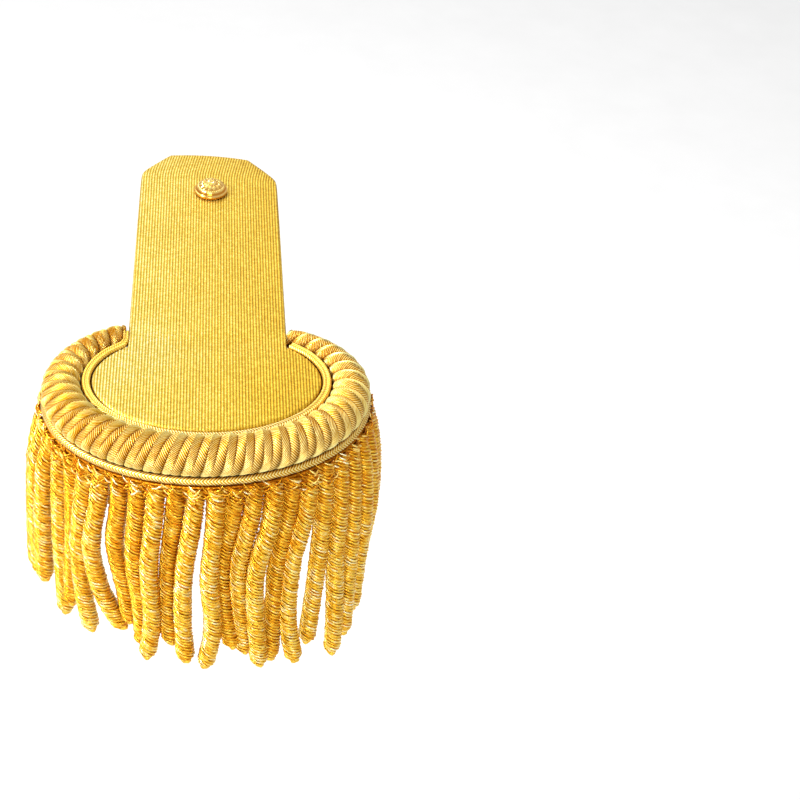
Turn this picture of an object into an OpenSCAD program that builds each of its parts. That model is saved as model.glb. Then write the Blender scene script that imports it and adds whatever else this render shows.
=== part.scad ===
// Bullion epaulette: a ribbed cloth strap and plate, a tapered wound roll round the plate,
// two pipings, a hanging fringe of thick bullion strands, a domed button and a fixing tongue.
// Millimetres. X runs across the shoulder board, +Y towards the neck end, +Z up.
// The origin lies on the underside, on the centre line where the strap meets the plate.

/* [Strap] */
// Width of the strap where it meets the plate
strap_w = 60; // [54:0.5:66]
// Width of the strap just before its cut corners
strap_neck_w = 58; // [50:0.5:62]
// Length of the strap from the plate to the neck end
strap_l = 138; // [110:1:150]
// Thickness of the covered board at its edges
board_t = 3; // [2:0.1:4]
// Rise of the padded middle above the edges
crown_h = 1; // [0.5:0.1:2]
// Length of each cut corner, along the strap
corner_l = 16; // [8:0.5:20]
// Width of each cut corner, across the strap
corner_w = 12; // [8:0.5:16]
// How far the left half of the neck end is longer than the right half
neck_slant = 5; // [0:0.1:6]
// Drop of the neck end below the plane of the strap
neck_drop = 0.5; // [0:0.1:3]

/* [Plate] */
// Half width of the cloth oval inside the roll
plate_rx = 42.5; // [40:0.5:48]
// Half length of the cloth oval inside the roll
plate_ry = 29.5; // [27:0.5:36]

/* [Crescent roll] */
// Width of the roll at the front
roll_front_w = 16.5; // [14:0.5:20]
// Width of the roll at its two ends
roll_end_w = 10; // [7:0.5:12]
// Height of the roll at the front
roll_front_h = 13.2; // [11:0.1:16]
// Height of the roll at its two ends
roll_end_h = 9.5; // [7:0.1:11]
// Height of the middle of the roll above the underside of the board, at the front
roll_front_z = 1.3; // [0:0.1:2]
// The same height at the two ends
roll_end_z = 0.2; // [-1:0.1:1]
// How much thinner, from the top, the right end is than the left one
roll_right_thin = 2; // [0:0.1:2.5]
// How late the roll tapers: higher keeps it full for longer
roll_fullness = 2.2; // [1.5:0.1:3]
// Number of wound ribs round the roll
roll_ribs = 37; // [30:1:44]
// Depth of the grooves between the ribs
groove_d = 0.7; // [0.3:0.1:1.2]

/* [Piping] */
// Width of the flat inner piping
inner_piping_w = 3.6; // [2.4:0.1:4.4]
// Height of the flat inner piping
inner_piping_h = 2.4; // [1.6:0.1:3]
// How far the inner piping stands above the edge of the cloth
piping_rise = 0.5; // [0:0.1:1]
// Length of the left end of the inner piping, laid against the strap
piping_tail = 7; // [4:0.5:9]
// Width of the inner piping at the tip of that end
piping_tip_w = 1.2; // [0.8:0.1:2]
// Diameter of the round outer piping
outer_piping_d = 3; // [2:0.1:3.4]
// Angle below the middle of the roll at which the outer piping sits
outer_piping_q = 46; // [35:1:60]

/* [Fringe] */
// Number of bullion strands
strand_count = 36; // [30:1:42]
// Diameter of one bullion strand
strand_d = 6.4; // [5:0.1:7]
// Hanging length of a strand, from the heading to the tip
fringe_l = 82; // [60:1:95]
// Height of the heading that the strands hang from
heading_h = 6; // [4:0.5:9]
// Thickness of the heading tape
heading_t = 1.5; // [1:0.1:2.5]

/* [Button] */
// Diameter of the domed button
button_d = 14; // [11:0.5:17]
// Height of the dome above the rim
dome_h = 3.4; // [2:0.1:4.5]
// Height of the rim band
rim_h = 1.6; // [1:0.1:2.5]
// Distance of the button from the neck end
button_inset = 31; // [22:1:40]
// Sideways offset of the button from the centre line
button_x = 0.8; // [-2:0.1:2]
// Diameter of the shank through the strap
shank_d = 3.6; // [2.5:0.1:5]
// Diameter of the disc that holds the shank under the strap
foot_d = 9; // [7:0.5:12]
// Thickness of that disc
foot_t = 1; // [0.8:0.1:2]

/* [Fixing tongue] */
// Width of the metal tongue under the strap
tongue_w = 20; // [14:1:26]
// Length of the free part of the tongue
tongue_l = 78; // [60:1:90]
// Thickness of the tongue
tongue_t = 1.2; // [0.8:0.1:2]
// Height of the space between the tongue and the strap
tongue_gap = 2.5; // [1.8:0.1:4]
// Length of the root pad that carries the tongue
pad_l = 16; // [10:1:22]

/* [Fit] */
// Gap left between neighbouring pieces
clearance = 0.2; // [0.1:0.05:0.4]

/* [Hidden] */

// Centre of the plate's oval: the oval meets the strap's edges at y = 0
plate_y = -plate_ry * sqrt(1 - pow(strap_w / 2 / plate_rx, 2));
// Angle round the oval, from the front, where the roll reaches the strap
roll_end_q = 180 - asin(strap_w / 2 / plate_rx) + 6;
// Width of the strip between the cloth oval and the roll
piping_strip = inner_piping_w + 2 * clearance;
// Place of the button along the strap
button_y = strap_l - button_inset;

function lerp(a, b, s) = a + (b - a) * s;
function smooth(s) = let(c = min(max(s, 0), 1)) c * c * (3 - 2 * c);

// A point on the cloth oval, at angle q from the front, moved out by r along the oval's normal
function rim_normal(q) =
    let(n = [sin(q) / plate_rx, -cos(q) / plate_ry])
    n / norm(n);
function rim_point(q, r) = [plate_rx * sin(q), plate_y - plate_ry * cos(q)] + rim_normal(q) * r;

// Size and level of the roll at angle q: fullest at the front, tapering to the ends
function roll_share(q) = 1 - pow(min(abs(q) / roll_end_q, 1), roll_fullness);
function roll_w(q) = lerp(roll_end_w, roll_front_w, roll_share(q));
function roll_thin(q) = q > 0 ? roll_right_thin : 0;
function roll_h(q) = lerp(roll_end_h - roll_thin(q), roll_front_h, roll_share(q));
function roll_z(q) = lerp(roll_end_z - roll_thin(q) / 2, roll_front_z, roll_share(q));

// A place on the roll's section at angle q, as [distance from the oval, level]: t goes round
// the section from its outer side, upwards; gap lifts the place off the roll
function roll_place(q, t, gap) =
    let(a = roll_w(q) / 2, b = roll_h(q) / 2, n = [cos(t) / a, sin(t) / b])
    [piping_strip + a + a * cos(t), roll_z(q) + b * sin(t)] + n / norm(n) * gap;

// Joins closed sections of equal size into one solid, with flat end caps
module loft(sections) {
    n = len(sections[0]);
    m = len(sections);
    points = [for (s = sections) for (p = s) p];
    sides = [for (i = [0 : m - 2]) for (j = [0 : n - 1])
        let(a = i * n + j, b = i * n + (j + 1) % n)
        each [[a, b + n, b], [a, a + n, b + n]]];
    cap_a = [for (j = [0 : n - 1]) j];
    cap_b = [for (j = [n - 1 : -1 : 0]) (m - 1) * n + j];
    polyhedron(points, concat(sides, [cap_a], [cap_b]), convexity = 10);
}

// Strap and plate

// Half width of the board at y: the oval, the strap, then its cut corners
function oval_half(y) =
    let(s = 1 - pow((y - plate_y) / plate_ry, 2))
    s > 0 ? plate_rx * sqrt(s) : 0;
function strap_half(y) = lerp(strap_w, strap_neck_w, min(max(y, 0) / (strap_l - corner_l), 1)) / 2;
function corner_cut(y) = corner_w * max(0, (y - (strap_l - corner_l)) / corner_l);
function board_half(y) =
    y < 0 ? oval_half(y) : strap_half(y) - corner_cut(y);

// Height added to the top: a low dome over the plate and a long crown over the strap, which
// grows out of the dome from crown_start on
crown_start = -6;
crown_run = 20;
function plate_dome(x, y) = max(0, 1 - pow(x / plate_rx, 2) - pow((y - plate_y) / plate_ry, 2));
function strap_crown(x, y) =
    smooth((y - crown_start) / crown_run) * max(0, 1 - pow(x / (strap_half(y) - corner_cut(y)), 2));
function board_top(x, y) = board_t + crown_h * max(plate_dome(x, y), strap_crown(x, y));

// Drop of the neck end, and its slant, which grows over a stretch of the strap before it
slant_run = 2 * corner_l;
function neck_share(y) = max(0, (y - (strap_l - corner_l)) / corner_l);
function neck_z(y) = -neck_drop * pow(neck_share(y), 2);
function slant_share(y) = min(max((y - (strap_l - corner_l - slant_run)) / slant_run, 0), 1);
function neck_y(x, y) = y - neck_slant * slant_share(y) * x / strap_neck_w;

// Stations along Y: closer together round the front of the oval and at the neck
front_steps = 9;
front_start_q = 4;
front_y = [for (i = [0 : front_steps])
    plate_y - plate_ry * cos(lerp(front_start_q, 90, i / front_steps))];
side_y = [for (s = [0.3, 0.55, 0.75, 0.9]) lerp(plate_y, 0, s)];
strap_y = [for (s = [0, 0.03, 0.08, 0.2, 0.45, 0.7, 0.9]) s * (strap_l - corner_l)];
neck_stations = [for (s = [0, 0.5, 1]) strap_l - corner_l + corner_l * s];
board_y = concat(front_y, side_y, strap_y, neck_stations);
// Places across the board, as shares of its half width
board_x = [-1, -0.97, -0.8, -0.5, -0.2, 0.2, 0.5, 0.8, 0.97, 1];
// How much of the edge thickness the top and the bottom give up at each place
edge_cut = [0.3, 0.05, 0, 0, 0, 0, 0, 0, 0.05, 0.3];

module board_blank() {
    last = len(board_x) - 1;
    loft([for (y = board_y)
        let(h = board_half(y))
        concat(
            [for (i = [0 : last])
                let(x = board_x[i] * h)
                [x, neck_y(x, y), board_top(x, y) + neck_z(y) - edge_cut[i] * board_t]],
            [for (i = [last : -1 : 0])
                let(x = board_x[i] * h)
                [x, neck_y(x, y), neck_z(y) + edge_cut[i] * board_t]])]);
}

module strap_board() {
    color("gold")
    difference() {
        board_blank();
        translate([button_x, button_y, -board_t])
            cylinder(h = 3 * board_t + crown_h, r = shank_d / 2 + clearance, $fn = 32);
    }
}

// Crescent roll

// The ends of the roll stop beside the strap; on the left the end of the inner piping goes between
roll_limit_left = strap_w / 2 + piping_tip_w + 2 * clearance;
roll_limit_right = strap_w / 2 + 2 * clearance;
roll_limit_y = plate_y + (plate_ry + piping_strip) / 2;

// One closed section of the roll at angle q, drawn in by groove
roll_sides = 10;
function roll_section(q, groove) =
    [for (j = [0 : roll_sides - 1])
        let(
            place = roll_place(q, 360 * j / roll_sides, -groove),
            p = rim_point(q, place[0]),
            limit = p[0] < 0 ? roll_limit_left : roll_limit_right)
        [p[1] > roll_limit_y ? sign(p[0]) * max(abs(p[0]), limit) : p[0], p[1], place[1]]];

// Each rib is two full sections and a groove
module crescent_roll() {
    step = 2 * roll_end_q / roll_ribs;
    color("khaki")
    loft([for (i = [0 : roll_ribs - 1], part = [[0, 1], [0.3, 0], [0.7, 0]])
        roll_section(roll_end_q - (i + part[0]) * step, part[1] * groove_d)]);
}

// Piping

// A closed section of eight points, w wide and h high, round a point on the plan
function piping_section(p, n, z, w, h) =
    [for (j = [0 : 7])
        let(t = 360 * j / 8 + 22.5, r = cos(t) * w / 2 / cos(22.5), v = sin(t) * h / 2 / cos(22.5))
        [p[0] + n[0] * r, p[1] + n[1] * r, z + v]];

inner_piping_z = board_t + piping_rise - inner_piping_h / 2;
inner_piping_r = clearance + inner_piping_w / 2;
// The inner piping ends beside the strap; its left end narrows and runs on along the strap's edge
inner_end_x = strap_w / 2 + 2 * clearance + inner_piping_w / 2;
inner_end_q = 180 - asin(inner_end_x / (plate_rx + inner_piping_r));
tail_x = strap_w / 2 + clearance + piping_tip_w / 2;

module inner_piping() {
    steps = 48;
    turn = rim_point(inner_end_q, inner_piping_r);
    color("goldenrod")
    loft(concat(
        [for (i = [0 : steps])
            let(q = lerp(inner_end_q, -inner_end_q, i / steps))
            piping_section(rim_point(q, inner_piping_r), rim_normal(q), inner_piping_z,
                inner_piping_w, inner_piping_h)],
        [for (s = [0.4, 1])
            piping_section([-tail_x, turn[1] + piping_tail * s], [-1, 0], inner_piping_z,
                piping_tip_w, inner_piping_h)]));
}

// The outer piping runs under the outer edge of the roll
function outer_place(q) = roll_place(q, -outer_piping_q, outer_piping_d / 2 + 2 * clearance);
function outer_r(q) = outer_place(q)[0];
function outer_z(q) = outer_place(q)[1];

outer_end_q = roll_end_q - 4;

module outer_piping() {
    steps = 56;
    color("goldenrod")
    loft([for (i = [0 : steps])
        let(q = lerp(outer_end_q, -outer_end_q, i / steps))
        piping_section(rim_point(q, outer_r(q)), rim_normal(q), outer_z(q),
            outer_piping_d, outer_piping_d)]);
}

// Fringe

// Heading: a tape from under the plate's rim, round the underside of the roll, down to the band
// that the strands hang from
function heading_top(q) = outer_z(q) - outer_piping_d / 2 - clearance;
// How far the tape goes in under the plate, and the places round the roll that it follows
heading_lap = 2.5;
tape_upper = [220, 240, 260, 280];
tape_lower = [260, 240, 220];
function heading_section(q) =
    let(
        r = outer_r(q),
        out = r + outer_piping_d * 0.3,
        in = out - strand_d / 2,
        top = heading_top(q),
        low = top - heading_h)
    [for (p = concat(
        [[-heading_lap, -clearance]],
        [for (t = tape_upper) roll_place(q, t, 2 * clearance)],
        [[r - outer_piping_d / 2, top], [out, top], [out, low], [in, low], [in, top - heading_t]],
        [for (t = tape_lower) roll_place(q, t, 2 * clearance + heading_t)],
        [[-heading_lap, -clearance - heading_t]]))
        let(c = rim_point(q, p[0]))
        [c[0], c[1], p[1]]];

// Sway of each strand, from the left end round the front to the right end.
// Columns: to the right at mid height, at three quarters, at the tip, and out from the
// plate at mid height and at the tip, all in strand diameters; then the share of the length.
sway = [
    [0, 0.1, 0.2, 0.1, 0.1, 0.94],
    [-0.1, -0.2, -0.1, 0.3, 0.2, 0.98],
    [0.1, 0, -0.2, 0.4, 0.5, 0.93],
    [-0.1, -0.2, -0.4, 0.6, 0.5, 0.97],
    [0, -0.1, 0.1, 0.8, 0.8, 0.92],
    [-0.1, -0.2, -0.2, 0.9, 1, 0.95],
    [-0.1, -0.2, -0.2, 0.9, 1, 0.93],
    [0, -0.1, 0, 1, 1, 0.88],
    [-0.1, -0.2, -0.2, 0.8, 0.9, 0.83],
    [-0.1, -0.1, -0.1, 0.3, 0.3, 0.99],
    [-0.1, -0.3, -0.4, 0.1, 0.2, 0.87],
    [-0.4, -0.3, 0.1, 0.4, 0.4, 0.97],
    [-0.6, -0.1, 1.1, 0.4, 0.3, 0.91],
    [-0.5, 0, 0.3, -0.2, -0.1, 0.86],
    [-0.3, 0, 0.1, 0.1, 0.1, 0.96],
    [-0.4, -0.3, -0.7, 0.6, 0.5, 0.99],
    [-0.5, -0.6, -0.4, -0.2, 0, 0.92],
    [-0.7, -0.8, -0.6, 0.4, 0.4, 1],
    [-0.4, -0.2, -0.7, 0.6, 0.5, 1.03],
    [-0.7, -0.6, 0, -0.2, 0, 0.95],
    [-0.9, -0.7, -0.4, 0.2, 0, 1],
    [-1.2, -1.1, -0.8, 0.8, 0.7, 1.06],
    [-0.7, -0.9, -1, 0, 0.1, 1.1],
    [-1.1, -1.3, -0.8, 0.6, 0.8, 1.11],
    [-0.2, -0.5, -0.8, 0.2, 0.3, 1.07],
    [-0.3, -0.3, -0.4, 0.6, 0.9, 1.18],
    [-0.1, -0.2, -0.3, 0.6, 0.7, 1.13],
    [-0.1, -0.2, -0.3, 0.8, 0.6, 1.05],
    [0, -0.3, -0.6, 0.7, 0.5, 0.99],
    [0, -0.3, -0.6, 0.7, 0.4, 0.97],
    [0.1, -0.1, -0.4, 0.8, 0.6, 0.93],
    [0, -0.2, -0.3, 0.7, 0.6, 0.96],
    [0.1, 0.2, 0, 0.6, 0.7, 0.94],
    [-0.1, 0, 0.2, 0.5, 0.4, 0.98],
    [0.1, 0.2, 0.1, 0.3, 0.4, 0.92],
    [0, -0.1, -0.2, 0.1, 0.1, 0.95]];

// Angle of each strand: the strands stand an equal way apart along the heading
fine = 120;
fringe_end_q = roll_end_q - 8;
strand_inset = 0.1;
function strand_plan(q) = rim_point(q, outer_r(q) - strand_inset * strand_d);
fine_q = [for (i = [0 : fine]) lerp(-fringe_end_q, fringe_end_q, i / fine)];
fine_step = [for (i = [0 : fine - 1]) norm(strand_plan(fine_q[i + 1]) - strand_plan(fine_q[i]))];
fine_run = [for (i = 0, s = 0; i <= fine; s = s + (i < fine ? fine_step[i] : 0), i = i + 1) s];
function strand_q(i) = lookup(fine_run[fine] * i / (strand_count - 1),
    [for (k = [0 : fine]) [fine_run[k], fine_q[k]]]);

// Centre line of strand i, as five places from its root inside the heading down to its tip
strand_root = 0.4;
function strand_route(i) =
    let(
        row = sway[floor(i * len(sway) / strand_count)],
        q = strand_q(i),
        n = rim_normal(q),
        p = strand_plan(q),
        top = heading_top(q) - heading_h * strand_root,
        drop = fringe_l * row[5] + heading_h * (1 - strand_root))
    [for (k = [
        // across, outwards, share of the drop
        [0, 0, 0],
        [row[0] * 0.3, row[3] * 0.7, 0.18],
        [row[0], row[3], 0.45],
        [row[1], lerp(row[3], row[4], 0.6), 0.75],
        [row[2], row[4], 1]])
        [p[0] + (k[0] + n[0] * k[1]) * strand_d,
         p[1] + n[1] * k[1] * strand_d,
         top - drop * k[2]]];

// Rings along a strand: where they stand on the route, and their share of the diameter
strand_rings = [[0, 0.9], [0.5, 1], [1, 1], [2, 1], [3, 1], [3.6, 1], [4, 0.8]];
function route_at(route, s) =
    let(
        i = min(floor(s), len(route) - 2),
        t = s - i,
        a = route[max(i - 1, 0)],
        b = route[i],
        c = route[i + 1],
        d = route[min(i + 2, len(route) - 1)])
    0.5 * (2 * b + (c - a) * t + (2 * a - 5 * b + 4 * c - d) * t * t + (3 * b - a - 3 * c + d) * t * t * t);

strand_sides = 6;
module strand(i) {
    route = strand_route(i);
    loft([for (r = strand_rings)
        let(c = route_at(route, r[0]))
        [for (j = [0 : strand_sides - 1])
            let(t = 360 * j / strand_sides)
            [c[0] + cos(t) * r[1] * strand_d / 2, c[1] - sin(t) * r[1] * strand_d / 2, c[2]]]]);
}

module fringe() {
    steps = 40;
    color("orange")
    union() {
        loft([for (i = [0 : steps])
            heading_section(lerp(-fringe_end_q, fringe_end_q, i / steps))]);
        for (i = [0 : strand_count - 1]) strand(i);
    }
}

// Button

// Half of the outline: the disc, the shank, the rounded rim band, then the dome inside it
module button() {
    seat = board_t + crown_h + clearance;
    edge = button_d / 2;
    dome_r = edge * 0.9;
    color("gold")
    translate([button_x, button_y, 0])
    rotate_extrude($fn = 64)
    polygon(concat(
        [[0, -clearance - foot_t], [foot_d / 2, -clearance - foot_t],
         [foot_d / 2, -clearance], [shank_d / 2, -clearance],
         [shank_d / 2, seat], [dome_r, seat],
         [edge, seat + rim_h * 0.3], [edge, seat + rim_h * 0.8], [edge * 0.95, seat + rim_h]],
        [for (t = [15 : 15 : 90])
            [dome_r * cos(t), seat + rim_h * 0.9 + dome_h * sin(t)]]));
}

// Fixing tongue

module fixing_tongue() {
    drop = clearance + tongue_gap;
    color("peru")
    union() {
        translate([-tongue_w / 2, -pad_l / 2, -drop])
            cube([tongue_w, pad_l, tongue_gap]);
        translate([-tongue_w / 2, -pad_l / 2, -drop - tongue_t])
            cube([tongue_w, pad_l / 2 + tongue_l - tongue_w / 2, tongue_t]);
        translate([0, tongue_l - tongue_w / 2, -drop - tongue_t])
            cylinder(h = tongue_t, r = tongue_w / 2, $fn = 64);
    }
}

strap_board();
crescent_roll();
inner_piping();
outer_piping();
fringe();
button();
fixing_tongue();
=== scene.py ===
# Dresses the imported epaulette: ribbed cloth, wound roll, braids, coiled strands, embossed button.
# Metres in Blender; the shape sizes below are millimetres, as in the solids, and are scaled by MM.
import math
import bpy
import numpy as np
from mathutils import Matrix, Vector


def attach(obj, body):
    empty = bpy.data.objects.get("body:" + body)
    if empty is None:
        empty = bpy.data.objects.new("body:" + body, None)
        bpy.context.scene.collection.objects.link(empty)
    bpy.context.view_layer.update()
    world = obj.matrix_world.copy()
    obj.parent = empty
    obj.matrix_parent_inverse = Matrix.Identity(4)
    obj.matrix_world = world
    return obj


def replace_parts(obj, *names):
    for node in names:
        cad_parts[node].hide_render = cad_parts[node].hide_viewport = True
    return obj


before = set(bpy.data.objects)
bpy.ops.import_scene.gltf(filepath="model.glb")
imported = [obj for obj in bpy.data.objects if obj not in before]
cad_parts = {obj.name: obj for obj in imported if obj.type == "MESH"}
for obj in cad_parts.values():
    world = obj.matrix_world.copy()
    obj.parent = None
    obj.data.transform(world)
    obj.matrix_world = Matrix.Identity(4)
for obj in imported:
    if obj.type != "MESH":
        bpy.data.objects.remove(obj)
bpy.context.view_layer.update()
MM, FULL_TURN = 0.001, 6.283

# Sizes of the solids
STRAP_W, STRAP_NECK_W, STRAP_L = 60.0, 58.0, 138.0
BOARD_T, CROWN_H, CROWN_START, CROWN_RUN = 3.0, 1.0, -6.0, 20.0
CORNER_L, CORNER_W, NECK_SLANT, NECK_DROP = 16.0, 12.0, 5.0, 0.5
RX, RY = 42.5, 29.5
ROLL_FRONT = np.array([16.5, 13.2, 1.3])
ROLL_END = np.array([10.0, 9.5, 0.2])
ROLL_FULLNESS, ROLL_RIGHT_THIN = 2.2, 2.0
INNER_W, INNER_H, INNER_RISE, TAIL = 3.6, 2.4, 0.5, 7.0
OUTER_D, OUTER_Q = 3.0, 46.0
STRANDS, STRAND_D, FRINGE_L = 36, 6.4, 82.0
HEADING_H, HEADING_T, HEADING_LAP, STRAND_ROOT, STRAND_INSET = 6.0, 1.5, 2.5, 0.4, 0.1
BUTTON_D, DOME_H, RIM_H, BUTTON_X, BUTTON_Y = 14.0, 3.4, 1.6, 0.8, 107.0
SHANK_D, FOOT_D, FOOT_T = 3.6, 9.0, 1.0
GAP = 0.2

PLATE_Y = -RY * math.sqrt(1 - (STRAP_W / 2 / RX) ** 2)
ROLL_END_Q = 180 - math.degrees(math.asin(STRAP_W / 2 / RX)) + 6
STRIP = INNER_W + 2 * GAP
FRINGE_END_Q = ROLL_END_Q - 8

# Sway of each strand: right at mid height, at three quarters and at the tip, out at mid height
# and at the tip, in strand diameters; then the share of the length
SWAY = np.array([
    [0, 0.1, 0.2, 0.1, 0.1, 0.94], [-0.1, -0.2, -0.1, 0.3, 0.2, 0.98],
    [0.1, 0, -0.2, 0.4, 0.5, 0.93], [-0.1, -0.2, -0.4, 0.6, 0.5, 0.97],
    [0, -0.1, 0.1, 0.8, 0.8, 0.92], [-0.1, -0.2, -0.2, 0.9, 1.0, 0.95],
    [-0.1, -0.2, -0.2, 0.9, 1.0, 0.93], [0, -0.1, 0, 1.0, 1.0, 0.88],
    [-0.1, -0.2, -0.2, 0.8, 0.9, 0.83], [-0.1, -0.1, -0.1, 0.3, 0.3, 0.99],
    [-0.1, -0.3, -0.4, 0.1, 0.2, 0.87], [-0.4, -0.3, 0.1, 0.4, 0.4, 0.97],
    [-0.6, -0.1, 1.1, 0.4, 0.3, 0.91], [-0.5, 0, 0.3, -0.2, -0.1, 0.86],
    [-0.3, 0, 0.1, 0.1, 0.1, 0.96], [-0.4, -0.3, -0.7, 0.6, 0.5, 0.99],
    [-0.5, -0.6, -0.4, -0.2, 0, 0.92], [-0.7, -0.8, -0.6, 0.4, 0.4, 1.0],
    [-0.4, -0.2, -0.7, 0.6, 0.5, 1.03], [-0.7, -0.6, 0, -0.2, 0, 0.95],
    [-0.9, -0.7, -0.4, 0.2, 0, 1.0], [-1.2, -1.1, -0.8, 0.8, 0.7, 1.06],
    [-0.7, -0.9, -1.0, 0, 0.1, 1.1], [-1.1, -1.3, -0.8, 0.6, 0.8, 1.11],
    [-0.2, -0.5, -0.8, 0.2, 0.3, 1.07], [-0.3, -0.3, -0.4, 0.6, 0.9, 1.18],
    [-0.1, -0.2, -0.3, 0.6, 0.7, 1.13], [-0.1, -0.2, -0.3, 0.8, 0.6, 1.05],
    [0, -0.3, -0.6, 0.7, 0.5, 0.99], [0, -0.3, -0.6, 0.7, 0.4, 0.97],
    [0.1, -0.1, -0.4, 0.8, 0.6, 0.93], [0, -0.2, -0.3, 0.7, 0.6, 0.96],
    [0.1, 0.2, 0, 0.6, 0.7, 0.94], [-0.1, 0, 0.2, 0.5, 0.4, 0.98],
    [0.1, 0.2, 0.1, 0.3, 0.4, 0.92], [0, -0.1, -0.2, 0.1, 0.1, 0.95]])


# ---- Shape functions, the same as those of the solids ----

def lerp(a, b, s):
    return a + (b - a) * s


def smooth(s):
    c = np.clip(s, 0, 1)
    return c * c * (3 - 2 * c)


def unit(v):
    return v / np.linalg.norm(v, axis=-1, keepdims=True)


def rim_normal(q):
    a = np.radians(q)
    return unit(np.stack([np.sin(a) / RX, -np.cos(a) / RY], -1))


def rim_point(q, r):
    a = np.radians(q)
    oval = np.stack([RX * np.sin(a), PLATE_Y - RY * np.cos(a)], -1)
    return oval + rim_normal(q) * np.asarray(r)[..., None]


def roll_size(q):
    """Width, height and level of the roll at angle q."""
    share = 1 - np.minimum(np.abs(q) / ROLL_END_Q, 1) ** ROLL_FULLNESS
    thin = np.where(np.asarray(q) > 0, ROLL_RIGHT_THIN, 0)
    return [lerp(ROLL_END[k] - thin * (0, 1, 0.5)[k], ROLL_FRONT[k], share) for k in range(3)]


def roll_place(q, t, gap):
    """Distance from the oval and level of a place on the roll's section, lifted off by gap."""
    w, h, z = roll_size(q)
    a, b, t = w / 2, h / 2, np.radians(t)
    n = unit(np.stack(np.broadcast_arrays(np.cos(t) / a, np.sin(t) / b), -1))
    return STRIP + a + a * np.cos(t) + n[..., 0] * gap, z + b * np.sin(t) + n[..., 1] * gap


def outer_place(q):
    return roll_place(q, -OUTER_Q, OUTER_D / 2 + 2 * GAP)


def heading_top(q):
    return outer_place(q)[1] - OUTER_D / 2 - GAP


def strand_plan(q):
    return rim_point(q, outer_place(q)[0] - STRAND_INSET * STRAND_D)


def even_q(end_q, radius, count):
    """count angles from -end_q to end_q that stand an equal way apart along radius(q)."""
    fine = np.linspace(-end_q, end_q, 721)
    p = rim_point(fine, radius(fine))
    run = np.concatenate([[0], np.cumsum(np.linalg.norm(np.diff(p, axis=0), axis=1))])
    return np.interp(np.linspace(0, run[-1], count), run, fine), run[-1]


def strip3(plan, z):
    """Places in space from places in plan and their levels."""
    return np.concatenate([plan, np.asarray(z)[..., None] * np.ones(plan.shape[:-1])[..., None]], -1)


# ---- Mesh helpers ----

UP = np.array([0.0, 0, 1])


def circle(count):
    """count even angles round a circle."""
    return np.linspace(0, 2 * np.pi, count + 1)[:-1]


def grid_uv(u, v):
    """UV places of a grid, with u going along its rows and v across."""
    return np.stack(np.meshgrid(u, v, indexing="ij"), -1)


def grid_quads(rows, cols, wrap=False):
    """Quads of a grid of vertices, closed round each row where wrap is set."""
    i, j = np.meshgrid(np.arange(rows - 1), np.arange(cols if wrap else cols - 1), indexing="ij")
    k = (j + 1) % cols
    corners = [i * cols + j, (i + 1) * cols + j, (i + 1) * cols + k, i * cols + k]
    return np.stack(corners, -1).reshape(-1, 4)


class Soup:
    """Collects the vertices, faces, material numbers and two UV maps of one piece.

    The first map, Thread, counts threads or stitches. The second, Shade, holds an openness, from 0
    in a groove to 1 in the open, which paints shade in, and a tone, from 0, deep and warm, to 1,
    pale, which in places carries painted light and shade too.
    """

    def __init__(self):
        self.co, self.uv, self.shade, self.faces, self.mats, self.n = [], [], [], [], [], 0

    def add(self, co, faces, uv=None, mat=0, shade=(1.0, 0.5)):
        co = np.asarray(co, float).reshape(-1, 3)
        uv = np.zeros((len(co), 2)) if uv is None else np.asarray(uv, float).reshape(-1, 2)
        shade = np.asarray(shade, float)
        self.co.append(co)
        self.uv.append(uv)
        self.shade.append(np.broadcast_to(shade, (len(co), 2)) if shade.ndim == 1 else shade.reshape(-1, 2))
        for f in faces:
            self.faces.append([int(k) + self.n for k in f])
            self.mats.append(mat)
        self.n += len(co)

    def grid(self, co, uv=None, mat=0, wrap=False, shade=(1.0, 0.5)):
        rows, cols = co.shape[:2]
        self.add(co, grid_quads(rows, cols, wrap).tolist(), uv, mat, shade)

    def cap(self, first, last, mat=0, shade=(1.0, 0.5)):
        """Closes both ends of a tube, given its first and last rings."""
        n = len(first)
        ends = [list(range(n)), list(range(2 * n - 1, n - 1, -1))]
        self.add(np.concatenate([first, last]), ends, None, mat, shade)

    def make(self, name, materials):
        co = np.concatenate(self.co) * MM
        uv, shade = np.concatenate(self.uv), np.concatenate(self.shade)
        mesh = bpy.data.meshes.new(name)
        mesh.from_pydata(co.tolist(), [], self.faces)
        corner = np.empty(len(mesh.loops), int)
        mesh.loops.foreach_get("vertex_index", corner)
        mesh.uv_layers.new(name="Thread").data.foreach_set("uv", uv[corner].ravel())
        mesh.uv_layers.new(name="Shade").data.foreach_set("uv", shade[corner].ravel())
        for m in materials:
            mesh.materials.append(m)
        mesh.polygons.foreach_set("material_index", self.mats)
        mesh.polygons.foreach_set("use_smooth", [True] * len(mesh.polygons))
        mesh.update()
        piece = bpy.data.objects.new(name, mesh)
        bpy.context.scene.collection.objects.link(piece)
        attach(piece, "root")
        return piece


# ---- Materials ----

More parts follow.
